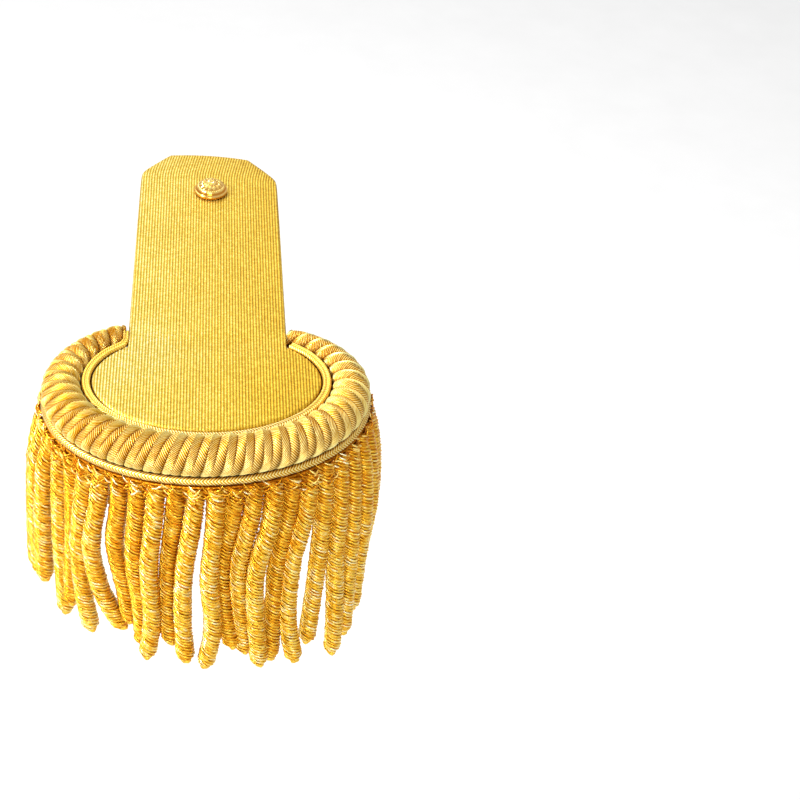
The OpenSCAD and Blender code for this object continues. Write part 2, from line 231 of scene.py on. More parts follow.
class Nodes:
    """Short calls for building a node tree."""

    def __init__(self, name):
        self.mat = bpy.data.materials.new(name)
        self.mat.use_nodes = True
        self.tree = self.mat.node_tree
        self.shader = self.tree.nodes["Principled BSDF"]

    def put(self, kind, ins=(), out=0, **props):
        node = self.tree.nodes.new(kind)
        for key, value in props.items():
            setattr(node, key, value)
        for key, value in dict(ins).items():
            if isinstance(value, bpy.types.NodeSocket):
                self.tree.links.new(value, node.inputs[key])
            else:
                node.inputs[key].default_value = value
        return node.outputs[out]

    def math(self, op, a, b=0.0, c=0.0):
        return self.put("ShaderNodeMath", {0: a, 1: b, 2: c}, operation=op)

    def plus(self, total, value, times, offset=0.0):
        """total + value * times + offset"""
        return self.math("ADD", total, self.math("MULTIPLY_ADD", value, times, offset))

    def wave(self, count):
        """0 where count is a whole number, 1 halfway between."""
        return self.math("MULTIPLY", self.math("PINGPONG", count, 0.5), 2.0)

    def ramp(self, value, stops):
        node = self.tree.nodes.new("ShaderNodeValToRGB")
        self.tree.links.new(value, node.inputs[0])
        band = node.color_ramp
        while len(band.elements) < len(stops):
            band.elements.new(0.5)
        for e, (pos, col) in zip(band.elements, stops):
            e.position = pos
            e.color = (*col, 1)
        return node.outputs[0]

    def mix(self, fac, a, b, blend="MIX"):
        node = self.tree.nodes.new("ShaderNodeMix")
        node.data_type = "RGBA"
        node.blend_type = blend
        for key, value in ((0, fac), (6, a), (7, b)):
            if isinstance(value, bpy.types.NodeSocket):
                self.tree.links.new(value, node.inputs[key])
            else:
                node.inputs[key].default_value = (*value, 1) if isinstance(value, tuple) else value
        return node.outputs[2]

    def uv(self, layer="Thread"):
        vec = self.put("ShaderNodeUVMap", uv_map=layer)
        node = self.tree.nodes.new("ShaderNodeSeparateXYZ")
        self.tree.links.new(vec, node.inputs[0])
        return node.outputs[0], node.outputs[1]

    def noise(self, scale, detail=2.0, rough=0.5):
        pos = self.put("ShaderNodeTexCoord", out=3)
        return self.put("ShaderNodeTexNoise", {"Vector": pos, "Scale": scale, "Detail": detail,
                                               "Roughness": rough})

    def finish(self, color, height=None, bump=0.0001, strength=0.6, rough=0.4, metallic=0.8, **fixed):
        links, s = self.tree.links, self.shader.inputs
        for key, value in (("Base Color", color), ("Roughness", rough), ("Metallic", metallic)):
            if isinstance(value, bpy.types.NodeSocket):
                links.new(value, s[key])
            else:
                s[key].default_value = (*value, 1) if isinstance(value, tuple) else value
        for key, value in fixed.items():
            s[key.replace("_", " ")].default_value = value
        if height is not None:
            normal = self.put("ShaderNodeBump", {"Height": height, "Distance": bump, "Strength": strength})
            links.new(normal, s["Normal"])
        return self.mat


# Length of a stitch along a rib and pitch of the fine coil of the bullion thread, in millimetres;
# and the scale of the grain on every thread, per metre
CLOTH_STITCH, COIL_PITCH, THREAD_GRAIN = 0.85, 0.42, 1500.0

# Colours from deep to pale, the cloth's tints of painted light, and the colour of painted shade in the
# grooves
CLOTH_COLORS = [(0.0, (0.3, 0.15, 0.008)), (0.25, (0.52, 0.31, 0.022)), (0.5, (0.7, 0.47, 0.055)),
                (0.75, (0.84, 0.64, 0.17)), (1.0, (0.97, 0.88, 0.55))]
CLOTH_PAINTED_LIGHT = [(0.0, (1.0, 0.97, 0.58)), (0.5, (0.93, 0.92, 0.8)), (1.0, (0.82, 0.87, 0.95))]
CLOTH_PAINTED_SHADE = (0.13, 0.035, 0.002)
WOUND_COLORS = [(0.0, (0.5, 0.19, 0.001)), (0.35, (0.76, 0.4, 0.006)), (0.65, (0.9, 0.6, 0.03)),
                (1.0, (0.98, 0.86, 0.36))]
WOUND_PAINTED_SHADE = (0.22, 0.05, 0.001)
BRAID_COLORS = [(0.1, (0.34, 0.11, 0.003)), (0.35, (0.74, 0.38, 0.02)), (0.6, (0.96, 0.64, 0.08)),
                (0.95, (1.0, 0.94, 0.5))]
BRAID_PAINTED_SHADE = (0.15, 0.035, 0.002)
BULLION_PAINTED_SHADE = (0.5, 0.17, 0.005)
GILT_PAINTED_SHADE = (0.5, 0.16, 0.005)


def cloth_material():
    """Ribbed metallic cloth. U counts ribs, with grooves at whole numbers; V is millimetres along."""
    n = Nodes("lame_cloth")
    u, v = n.uv()
    openness, tone_at = n.uv("Shade")
    rib = n.math("FLOOR", u)
    odd = n.math("MODULO", n.math("ABSOLUTE", rib), 2.0)
    # Stitches along each rib, half a stitch further on every second one
    stitches = n.math("MULTIPLY_ADD", odd, 0.5, n.math("MULTIPLY", v, 1 / CLOTH_STITCH))
    cell = n.put("ShaderNodeCombineXYZ", {0: rib, 1: n.math("FLOOR", stitches)})
    pick = n.put("ShaderNodeTexWhiteNoise", {"Vector": cell}, noise_dimensions="2D")
    dot = n.wave(n.math("FRACT", stitches))
    speck = n.noise(THREAD_GRAIN, 3.0, 0.8)
    tone = n.math("MULTIPLY_ADD", n.wave(u), 0.62, n.math("MULTIPLY", pick, 0.2))
    tone = n.plus(tone, dot, 0.12)
    tone = n.plus(tone, speck, 0.7, -0.4)
    tone = n.plus(tone, n.noise(60.0, 2.0), 0.16, -0.08)
    # The tone map carries painted light and shade, paler with a painted highlight to the left and warmer to
    # the right; the openness paints shade in along the plate's edge
    tone = n.plus(tone, tone_at, 0.25, -0.1)
    color = n.ramp(tone, CLOTH_COLORS)
    color = n.mix(1.0, color, n.ramp(tone_at, CLOTH_PAINTED_LIGHT), "MULTIPLY")
    color = n.mix(openness, CLOTH_PAINTED_SHADE, color)
    height = n.math("ADD", n.math("MULTIPLY", dot, 0.5), n.math("MULTIPLY", speck, 1.2))
    rough = n.math("MULTIPLY_ADD", speck, 0.3, 0.35)
    return n.finish(color, height, bump=0.00018, strength=0.6, rough=rough, metallic=0.85)


def wound_material():
    """Wound cord of the roll. U counts ridges, with grooves at whole numbers; V counts stitches."""
    n = Nodes("wound_cord")
    v = n.uv()[1]
    openness, tone_at = n.uv("Shade")
    stitch = n.wave(v)
    speck = n.noise(THREAD_GRAIN, 3.0, 0.8)
    tone = n.math("ADD", n.math("MULTIPLY_ADD", stitch, 3.0, -1.75), speck)
    tone = n.plus(tone, n.noise(140.0, 2.0), 0.15, -0.05)
    # The tone map carries painted light and shade and each stroke's random tone; the openness paints shade
    # in at the grooves and below
    tone = n.plus(tone, tone_at, 1.0, -0.5)
    color = n.mix(openness, WOUND_PAINTED_SHADE, n.ramp(tone, WOUND_COLORS))
    height = n.math("ADD", n.math("MULTIPLY", stitch, 1.3), speck)
    rough = n.math("MULTIPLY_ADD", speck, 0.25, 0.3)
    # Little specular, so that the uncoloured reflection doesn't turn the gold beige
    return n.finish(color, height, bump=0.00022, strength=0.8, rough=rough, metallic=0.6,
                    Specular_IOR_Level=0.1)


def braid_material():
    """Plaited braid. U counts stitches, which are slanted already; V goes across or round."""
    n = Nodes("braid")
    u = n.uv()[0]
    openness, tone_at = n.uv("Shade")
    stitch = n.wave(u)
    speck = n.noise(THREAD_GRAIN, 2.0, 0.7)
    # Here the tone map sets how far the stitches stand out
    contrast = n.math("MULTIPLY", tone_at, 1.6)
    tone = n.math("MULTIPLY_ADD", n.math("SUBTRACT", stitch, 0.5), contrast, 0.52)
    tone = n.plus(tone, speck, 0.6, -0.3)
    # The openness paints shade in under the braids and where they lie against the roll
    color = n.mix(openness, BRAID_PAINTED_SHADE, n.ramp(tone, BRAID_COLORS))
    rough = n.math("MULTIPLY_ADD", speck, 0.2, 0.3)
    return n.finish(color, stitch, bump=0.0001, strength=0.6, rough=rough, metallic=0.9)


def bullion_material(name, low, mid, high, rough):
    """Fine coiled thread wound round a strand. U is millimetres along the thread, V goes round it."""
    n = Nodes(name)
    u, v = n.uv()
    openness, wrap_tone = n.uv("Shade")
    coil = n.wave(n.math("MULTIPLY_ADD", u, 1 / COIL_PITCH, v))
    speck = n.noise(1100.0, 3.0, 0.8)
    tone = n.plus(n.math("MULTIPLY", coil, 0.2), speck, 0.9, -0.3)
    tone = n.plus(tone, n.noise(120.0, 2.0), 0.25, -0.125)
    tone = n.plus(tone, wrap_tone, 0.7, -0.15)
    color = n.ramp(tone, [(0.15, low), (0.5, mid), (0.95, high)])
    # The openness paints shade in on the threads' inner sides and on shaded ends
    color = n.mix(openness, BULLION_PAINTED_SHADE, color)
    height = n.math("ADD", coil, speck)
    return n.finish(color, height, bump=0.00014, strength=0.6, rough=rough, metallic=0.95)


def gilt_material():
    """Polished gilt with a little grime, and painted shade where the relief is low."""
    n = Nodes("gilt")
    openness = n.uv("Shade")[0]
    grime = n.noise(700.0, 4.0, 0.6)
    color = n.ramp(grime, [(0.3, (0.9, 0.55, 0.09)), (0.7, (1.0, 0.8, 0.3))])
    color = n.mix(openness, GILT_PAINTED_SHADE, color)
    rough = n.math("MULTIPLY_ADD", grime, 0.16, 0.12)
    return n.finish(color, grime, bump=0.00003, strength=0.3, rough=rough, metallic=1.0)


def brass_material():
    """Satin brass sheet, its grain drawn out across the tongue."""
    n = Nodes("brass_plate")
    pos = n.put("ShaderNodeTexCoord", out=3)
    fine = n.put("ShaderNodeMapping", {"Vector": pos, "Scale": (3.0, 60.0, 3.0)})
    grain = n.put("ShaderNodeTexNoise", {"Vector": fine, "Scale": 90.0, "Detail": 4.0})
    color = n.ramp(grain, [(0.3, (0.58, 0.4, 0.14)), (0.7, (0.78, 0.58, 0.25))])
    rough = n.math("MULTIPLY_ADD", grain, 0.25, 0.25)
    return n.finish(color, grain, bump=0.00003, strength=0.4, rough=rough, metallic=1.0)


def lining_material():
    """Plain twill under the board. U and V are millimetres across and along."""
    n = Nodes("lining")
    u, v = n.uv()
    twill = n.math("PINGPONG", n.math("ADD", u, v), 0.35)
    speck = n.noise(700.0, 3.0)
    tone = n.math("ADD", n.math("MULTIPLY", twill, 1.4), n.math("MULTIPLY", speck, 0.5))
    color = n.ramp(tone, [(0.1, (0.36, 0.25, 0.1)), (0.9, (0.6, 0.46, 0.22))])
    return n.finish(color, twill, bump=0.00012, strength=0.6, rough=0.8, metallic=0.0)


LAME, WOUND, BRAID = cloth_material(), wound_material(), braid_material()
GILT, LINING = gilt_material(), lining_material()
# Copies of one bullion shader: the bright one; the deeper one, painted shade on threads that lie further in
# and on most twisted ends; and the core one, darker still, painted shade on the strands' cores and the
# heading's tape
BRIGHT = bullion_material("bullion_bright", (0.82, 0.4, 0.015), (1.0, 0.69, 0.07), (1.0, 0.97, 0.7), 0.26)
SHADED_BULLION = bullion_material("bullion_deep", (0.6, 0.2, 0.004), (0.9, 0.49, 0.02), (1.0, 0.84, 0.3), 0.32)
CORE = bullion_material("bullion_core", (0.3, 0.08, 0.002), (0.6, 0.22, 0.005), (0.85, 0.42, 0.02), 0.4)


# ---- Strap and plate: one ribbed cloth over the board ----

# Ribs across the strap, and to each side of the middle on the whole plate
RIBS_ACROSS, SIDE_RIBS = 53, 38
RIB, RIB_H, RIB_STEPS = STRAP_W / RIBS_ACROSS, 0.2, 6
# Radius of the turned edge, and how far the cloth lies outside the board
EDGE_R, CLOTH_OVER_STRAP, CLOTH_OVER_PLATE = 1.1, 0.15, 0.1
# The ribs lean to the right towards the neck: how much, from where, and over what length it sets in
LEAN, LEAN_FROM, LEAN_RUN = 0.15, 116.0, 8.0
# Rounding of the two cut corners and of the corners at the very end
CORNER_ROUND, TIP_ROUND = 1.6, 1.8


def strap_half(y):
    return lerp(STRAP_W, STRAP_NECK_W, np.clip(y / (STRAP_L - CORNER_L), 0, 1)) / 2


def neck_share(y):
    return np.maximum(0, (y - (STRAP_L - CORNER_L)) / CORNER_L)


def slant_share(y):
    run = 2 * CORNER_L
    return np.clip((y - (STRAP_L - CORNER_L - run)) / run, 0, 1)


def board_half(y):
    """Half width of the cloth, with the corners of the neck end rounded."""
    oval = RX * np.sqrt(np.maximum(0, 1 - ((y - PLATE_Y) / RY) ** 2))
    side = strap_half(y) + CLOTH_OVER_STRAP
    corner = side - CORNER_W * (y - (STRAP_L - CORNER_L)) / CORNER_L
    kept = (side + corner - np.sqrt((side - corner) ** 2 + CORNER_ROUND ** 2)) / 2
    tip = np.clip((y - (STRAP_L - TIP_ROUND)) / TIP_ROUND, 0, 1)
    neck = kept - TIP_ROUND * (1 - np.sqrt(1 - tip ** 2))
    return np.where(y < 0, oval + CLOTH_OVER_PLATE, np.where(y < 90, side, neck))


def board_top(x, y):
    """Level of the top: a low dome over the plate and a long crown over the strap."""
    dome = np.maximum(0, 1 - (x / RX) ** 2 - ((y - PLATE_Y) / RY) ** 2)
    half = board_half(np.maximum(y, 0.01))
    crown = smooth((y - CROWN_START) / CROWN_RUN) * np.maximum(0, 1 - (x / half) ** 2)
    return BOARD_T + CROWN_H * np.maximum(dome, crown)


def edge_distance(x, y):
    """Rough distance from the board's outline, inwards."""
    rho = np.sqrt((x / RX) ** 2 + ((y - PLATE_Y) / RY) ** 2)
    grad = np.sqrt((x / RX ** 2) ** 2 + ((y - PLATE_Y) / RY ** 2) ** 2) / np.maximum(rho, 1e-6)
    oval = (1 - rho) / np.maximum(grad, 1e-6)
    slope = np.where(y > STRAP_L - CORNER_L, 0.8, 1.0)
    strap = np.minimum((board_half(y) - np.abs(x)) * slope, STRAP_L - y)
    return np.maximum(np.where(y < 0, oval, strap), 0)


def make_cloth():
    """The cloth over the board's top, sides and ends, and the lining below it."""
    # Rows: round the front of the oval, up to the strap, along it, and closer at the neck
    front = PLATE_Y - RY * np.cos(np.radians(np.linspace(1.0, 90, 46)))
    ys = np.concatenate([
        front, np.linspace(PLATE_Y, 0, 15)[1:], np.linspace(0, LEAN_FROM, 48)[1:],
        np.linspace(LEAN_FROM, STRAP_L - 1.2, 20)[1:], STRAP_L - np.array([0.8, 0.45, 0.18, 0.05, 0])])
    # Columns count ribs; beyond the outline they are drawn in to it
    phase = np.arange(-SIDE_RIBS * RIB_STEPS, (SIDE_RIBS + 1) * RIB_STEPS) / RIB_STEPS
    cols = (phase - 0.5) * RIB
    y, x0 = np.meshgrid(ys, cols, indexing="ij")
    over = np.maximum(y - LEAN_FROM, 0)
    x = x0 + LEAN * np.where(over < LEAN_RUN, over ** 2 / (2 * LEAN_RUN), over - LEAN_RUN / 2)
    half = board_half(y)
    inside = np.abs(x) < half
    x = np.clip(x, -half, half)
    f = phase - np.floor(phase)
    ridge = 1 - (2 * f - 1) ** 2
    wander = 1 + 0.15 * np.sin(y * 0.31 + phase[None] * 2.1)
    d = edge_distance(x, y)
    drop = EDGE_R - np.sqrt(np.maximum(EDGE_R ** 2 - np.maximum(EDGE_R - d, 0) ** 2, 0))
    z = board_top(x, y) - drop + RIB_H * (ridge[None] * wander - 0.5) * smooth(d / 0.8)
    share = neck_share(y)
    top = np.stack([x, y - NECK_SLANT * slant_share(y) * x / STRAP_NECK_W, z - NECK_DROP * share ** 2], -1)
    uv = np.stack([np.broadcast_to(phase, x.shape), y], -1)
    # Painted shade along the plate's edge; a painted highlight left of the strap's foot; painted light and
    # shade that make it paler to the left and warmer to the right, most on the plate's right front
    rim = smooth(d / 0.5) + smooth((y - 6) / 8) + smooth((-30 - y) / 12) * 0.75
    painted_sheen = 0.6 * np.exp(-((x + 29) ** 2 + (y + 5) ** 2) / 15 ** 2)
    warm = 0.25 * smooth((x + 5) / 35) * smooth((4 - y) / 25)
    tone = np.clip(0.5 - 0.45 * x / RX + painted_sheen - warm, 0, 1)
    shade = np.stack([np.minimum(rim, 1), tone], -1)
    rows, n = x.shape
    first = np.clip(np.argmax(inside, axis=1) - 1, 0, n - 1)
    last = np.clip(n - np.argmax(inside[:, ::-1], axis=1), 0, n - 1)
    cols_at = np.clip(np.arange(n)[None], first[:, None], last[:, None])
    index = np.arange(rows)[:, None] * n + cols_at
    faces = []
    for a in np.stack([index[:-1, :-1], index[:-1, 1:], index[1:, 1:], index[1:, :-1]], -1).reshape(-1, 4):
        corners = list(dict.fromkeys(a.tolist()))
        if len(corners) > 2:
            faces.append(corners)
    soup = Soup()
    soup.add(top, faces, uv, 0, shade)
    # Sides and underside
    h, s = board_half(ys), neck_share(ys)
    side_x = np.array([1, 1, 0.985, 0.95, 0.5, 0, -0.5, -0.95, -0.985, -1, -1])
    side_z = np.array([0, 0.9, 0.35, 0.05, 0, 0, 0, 0.05, 0.35, 0.9, 0])
    ux = side_x[None] * h[:, None]
    uz = np.broadcast_to(side_z, ux.shape).copy()
    for k, edge in ((0, last), (-1, first)):
        uz[:, k] = top[np.arange(rows), edge, 2]
    uy = ys[:, None] - NECK_SLANT * slant_share(ys)[:, None] * ux / STRAP_NECK_W
    uz[:, 1:-1] -= NECK_DROP * s[:, None] ** 2
    under = np.stack([ux, uy, uz], -1)
    uvs = np.stack([ux / RIB, np.broadcast_to(ys[:, None], ux.shape)], -1)
    around = len(side_x)
    quads = grid_quads(rows, around).reshape(rows - 1, around - 1, 4)
    # Painted shade on the sides round the plate
    side_shade = np.stack([smooth((ys - 6) / 8), 0.4 + 0 * ys], -1)[:, None]
    side_shade = np.broadcast_to(side_shade, (rows, around, 2))
    soup.add(under, quads[:, [0, 1, -2, -1]].reshape(-1, 4).tolist(), uvs, 0, side_shade)
    soup.add(under, quads[:, 2:-2].reshape(-1, 4).tolist(), under[..., :2], 1)
    # Neck end, closed up to the crowned top edge, with a little painted shade
    edge_cols = np.arange(first[-1], last[-1] + 1)
    neck = np.concatenate([under[-1], top[-1, edge_cols]])
    neck_uv = np.stack([neck[:, 0] / RIB, neck[:, 2] + STRAP_L], -1)
    soup.add(neck, [list(range(len(neck) - 1, -1, -1))], neck_uv, 0, (0.8, 0.4))
    return soup.make("strap_cloth", [LAME, LINING])


# ---- Crescent roll: cord wound over padding ----

# Ridges of cord, and the places across each one that get a line of vertices
RIDGES = 74
RIDGE_STEPS = np.array([0, 0.05, 0.14, 0.28, 0.5, 0.72, 0.86, 0.95])
# Stitches round the section, and the angle of the seam below where they start
STITCHES, SEAM = 46, -135.0
# How many ridges the cord moves on in one turn, and the slant of its stitches in degrees
SKEW, CHEVRON = 3.5, 30.0
# Depth of the grooves, how much deeper they are towards the ends, height of the stitches, and lift
LOBE_H, LOBE_END, STITCH_H, ROLL_LIFT = 1.15, 0.45, 0.24, 0.33
# Each stroke's rows and its most difference in tone, at the front and at the ends
STROKES = ((1, 0.3), (2, 0.35))
# Share of the section left where the roll ends, and how near it comes to the middle on each side
END_SHARE, LEFT_STOP, RIGHT_STOP = 0.86, STRAP_W / 2 + 0.9, STRAP_W / 2 + 0.1


def make_roll():
    """The roll of slanted windings, and its two domed ends."""
    extra = math.ceil(SKEW)
    columns = (np.arange(-extra, RIDGES + extra)[:, None] + RIDGE_STEPS).ravel()
    rows = np.linspace(SEAM, SEAM + 360, 2 * STITCHES + 1)
    phase, row = np.meshgrid(columns, rows, indexing="ij")
    # Two kinds of groove in turn: smooth ones open on top, stitched ones open on the outer side
    smooth_at = np.abs((phase + 1) % 2 - 1)
    stitched_at = 1 - smooth_at
    at_row = np.arange(len(rows))
    zigzag = np.broadcast_to(np.where(at_row % 2 == 0, 1.0, -1.0), phase.shape)
    # Angle round the section: 0 on the outer side, 90 on top, 180 on the inner side
    t = row + CHEVRON * (stitched_at - 0.5)
    lower = smooth((92 - t) / 45)
    # Just above the outer braid the smooth ones are open again
    notch = smooth((-20 - t) / 16)
    open_smooth = 1 - 0.65 * smooth((50 - t) / 55) + 0.6 * notch
    open_stitched = lower + 0.5 * smooth((t - 135) / 40)

    def valley(d):
        """Depth of a groove at a distance of d ridges from its bottom, where it is 1."""
        return 0.45 * (1 - np.sqrt(np.maximum(1 - (1 - d) ** 2, 0))) + 0.55 * (1 - d) ** 1.6

    # Beside a stitched groove the cord goes in and out with the stitches
    edge = np.exp(-(stitched_at / 0.22) ** 2)
    along = phase + SKEW * (t - 45) / 360 + 0.07 * zigzag * edge
    even, _ = even_q(ROLL_END_Q, lambda q: STRIP + roll_size(q)[0] / 2, RIDGES * 4 + 1)
    q = np.interp(along, np.linspace(0, RIDGES, len(even)), even)
    out = (along < 0) | (along > RIDGES)
    end = smooth(np.minimum(along, RIDGES - along) / 1.2)
    depth = open_smooth * valley(smooth_at) + open_stitched * valley(stitched_at)
    # 0 round the front, 1 towards both ends
    ends = smooth(np.abs(q) / 55 - 1)
    height = ROLL_LIFT + STITCH_H * zigzag * (1 + 0.6 * edge) - LOBE_H * (1 + LOBE_END * ends) * depth
    w, _, z = roll_size(q)
    r, level = roll_place(q, t, height)
    mid_r = STRIP + w / 2
    shrink = lerp(END_SHARE, 1, end)
    r, level = mid_r + (r - mid_r) * shrink, z + (level - z) * shrink
    p = rim_point(q, r)
    # The ends stop beside the strap
    limit = np.where(p[..., 0] < 0, LEFT_STOP, RIGHT_STOP)
    near = p[..., 1] > PLATE_Y + (RY + STRIP) / 2
    x = np.where(near, np.sign(p[..., 0]) * np.maximum(np.abs(p[..., 0]), limit), p[..., 0])
    co = np.stack([x, p[..., 1], level], -1)
    uv = np.stack([phase, np.broadcast_to(at_row / 2 + 0.5, phase.shape)], -1)
    # Dark points of shadow between the stitches, wider apart towards the ends
    after = (phase % 2) - 1
    wide = np.broadcast_to(np.where(at_row // 2 % 2 == 0, 1.0, -1.0), phase.shape)
    tooth = np.where(np.where(ends > 0.5, wide, zigzag) < 0, np.where(after < 0, 0.42, 0.2), 0.06)
    plain = lerp(0.08, tooth, smooth((t - 88) / 12)) + 0.2 * notch
    dark = np.maximum(open_smooth * np.exp(-(smooth_at / plain) ** 2),
                      np.minimum(1.6 * open_stitched, 1) * np.exp(-(stitched_at / tooth) ** 2))
    # Shadow over the outer braid and inside the plate
    under = 0.85 * smooth((-41 - t) / 3) + smooth((t - 165) / 25)
    # Tone, much of it painted light and shade: lighter round the front, a painted highlight on the left of
    # each ridge and painted shade on its right, painted shade in the grooves and over the top and inner
    # side, darker towards the left end; and each stroke of cord at random
    facing = np.maximum(np.cos(np.radians(q)), 0)
    painted_light_and_strokes = 0.36 + 0.1 * facing ** 4 + 0.4 * (0.5 - phase % 1) * facing
    painted_light_and_strokes = painted_light_and_strokes - 0.2 * depth - (0.25 - 0.15 * ends) * smooth((t - 60) / 30)
    painted_light_and_strokes = painted_light_and_strokes - 0.14 * smooth(-q / 70)
    rng = np.random.default_rng(11)
    strokes = []
    for span, most in STROKES:
        drawn = rng.uniform(-most, most, (len(columns) // len(RIDGE_STEPS), len(rows) // span + 1))
        drawn = np.repeat(drawn, span, axis=1)[:, :len(rows)]
        strokes.append(np.repeat(drawn, len(RIDGE_STEPS), axis=0))
    painted_light_and_strokes = painted_light_and_strokes + lerp(strokes[0], strokes[1], ends)
    # Painted light in the lower part: each ridge paler on its left and deeper on its right, the one after
    # each stitched groove paler in all
    painted_light_and_strokes = painted_light_and_strokes + lower * np.where(after < 0, 0.12 - 0.4 * (1 + after), 0.26 - 0.25 * after)
    shade = np.stack([np.clip(1 - 0.85 * dark - under, 0, 1), painted_light_and_strokes], -1)
    quads = grid_quads(*phase.shape)
    flat = out.ravel()
    quads = quads[~(flat[quads].all(axis=1))]
    soup = Soup()
    soup.add(co, quads.tolist(), uv, 0, shade)
    for end_q in (-ROLL_END_Q, ROLL_END_Q):
        w, _, z = roll_size(np.array(end_q))
        turn = np.linspace(0, 360, 25)[:-1]
        rr, zz = roll_place(np.full(len(turn), float(end_q)), turn, 0.0)
        mid_r = STRIP + w / 2
        rings = []
        for s in (END_SHARE, 0.7, 0.4, 0.02):
            ring_q = np.full(len(turn), end_q + math.copysign(1.2 * (1 - s), end_q))
            pp = rim_point(ring_q, mid_r + (rr - mid_r) * s)
            rings.append(np.stack([pp[:, 0], pp[:, 1], z + (zz - z) * s], -1))
        rings = np.array(rings)
        stop = LEFT_STOP if end_q < 0 else RIGHT_STOP
        rings[..., 0] = np.sign(end_q) * np.maximum(np.abs(rings[..., 0]), stop)
        uv = grid_uv([0.3, 0.5, 0.6, 0.5], turn / 10)
        # Some painted shade on the domed ends
        soup.grid(rings, uv, 0, True, (0.7, 0.4))
    piece = soup.make("wound_roll", [WOUND])
    return piece


# ---- Braids ----

# Length of a stitch in millimetres and slant in stitches, of the inner and the outer braid
INNER_PITCH, OUTER_PITCH = 1.15, 1.2
LEAN_INNER, LEAN_OUTER = 1.3, 1.7
# Rows of vertices to a stitch, and about how long the inner braid is
STITCH_ROWS, INNER_RUN = 4, 190
# The inner braid's tail: its width and its place to the left of the strap's middle
TAIL_W, TAIL_X = 2.8, -LEFT_STOP
# How far the outer braid is drawn in and up, against the roll
OUTER_IN, OUTER_UP = 0.15, 0.35


def sweep(plan, level, normal, section):
    """Grid of section places [out, up] along a path; section may differ from row to row."""
    path, side = strip3(plan, level), strip3(normal, 0.0)
    return path[:, None] + side[:, None] * section[..., :1] + UP * section[..., 1:2]


def make_inner():
    """Flat braid of two ridges, with its stitches slanted from the middle to both edges."""
    r = GAP + INNER_W / 2
    end_x = STRAP_W / 2 + 2 * GAP + INNER_W / 2
    end_q = 180 - math.degrees(math.asin(end_x / (RX + r)))
    count = int(INNER_RUN / INNER_PITCH) * STITCH_ROWS
    q, _ = even_q(end_q, lambda a: r + 0 * a, count)
    drawn_in = 0.35 * smooth((np.abs(q) - end_q + 12) / 8)
    plan, normal = rim_point(q, r - drawn_in), rim_normal(q)
    width = np.full(count, INNER_W)
    # The left end narrows and lies along the strap's edge
    tail_n = 28
    s = np.linspace(1, 0, tail_n, endpoint=False)
    turn = plan[0]
    bend = smooth(s * 2.6)
    tail = np.stack([lerp(turn[0], TAIL_X, bend), turn[1] + TAIL * s], -1)
    tail_normal = unit(np.stack([lerp(normal[0, 0], -1, bend), lerp(normal[0, 1], 0, bend)], -1))
    plan, normal = np.concatenate([tail, plan]), np.concatenate([tail_normal, normal])
    width = np.concatenate([lerp(INNER_W, TAIL_W, bend), width])
    lift = np.concatenate([0.6 * s ** 2, np.zeros(count)])
    angle = np.concatenate([np.full(tail_n, -end_q), q])
    n, on_top = len(plan), 11
    across = np.concatenate([np.linspace(-1, 1, on_top), [0.9, 0, -0.9, -1]])
    sides = len(across)
    half = across[None, :on_top]
    hump = np.abs(np.sin(np.pi * half)) ** 0.7
    thread = np.arange(n)[:, None] / STITCH_ROWS + np.abs(across) * LEAN_INNER
    stitch = 1 - np.abs((thread[:, :on_top] % 1) * 2 - 1)
    top = INNER_H / 2 - 0.4 * (1 - hump) + 0.22 * (stitch - 0.5)
    top = np.where(np.abs(half) > 0.97, 0.1, top)
    bottom = [-INNER_H / 2 + 0.2, -INNER_H / 2, -INNER_H / 2 + 0.2, 0.0]
    z = np.concatenate([top, np.broadcast_to(bottom, (n, 4))], 1)
    section = np.stack([across[None] * (width[:, None] / 2 - 0.15), z], -1)
    # Painted shade under the braid and a little along its middle, none round the front, and more on the
    # tail where it lies by the strap
    edge = np.where(np.abs(across) > 0.93, 1.0, 1 - 0.1 * (np.abs(across) < 0.05))
    edge[on_top:] = 0
    tail_shade = np.concatenate([lerp(1.0, 0.8, bend), np.ones(count)])
    front = smooth(1.3 - np.abs(angle) / 60)[:, None]
    openness = lerp(edge[None] * tail_shade[:, None], 1.0, front)
    shade = np.stack([openness, 0.3 + 0.6 * front + 0 * z], -1)
    # It lies lower at the front
    level = BOARD_T + INNER_RISE - INNER_H / 2 - 0.8 * smooth(1.2 - np.abs(angle) / 70)
    co = sweep(plan, level + lift, normal, section)
    uv = np.stack([thread, np.broadcast_to(np.linspace(0, 1, sides), (n, sides))], -1)
    soup = Soup()
    soup.grid(co, uv, 0, True, shade)
    soup.cap(co[0], co[-1])
    return soup.make("inner_braid", [BRAID])


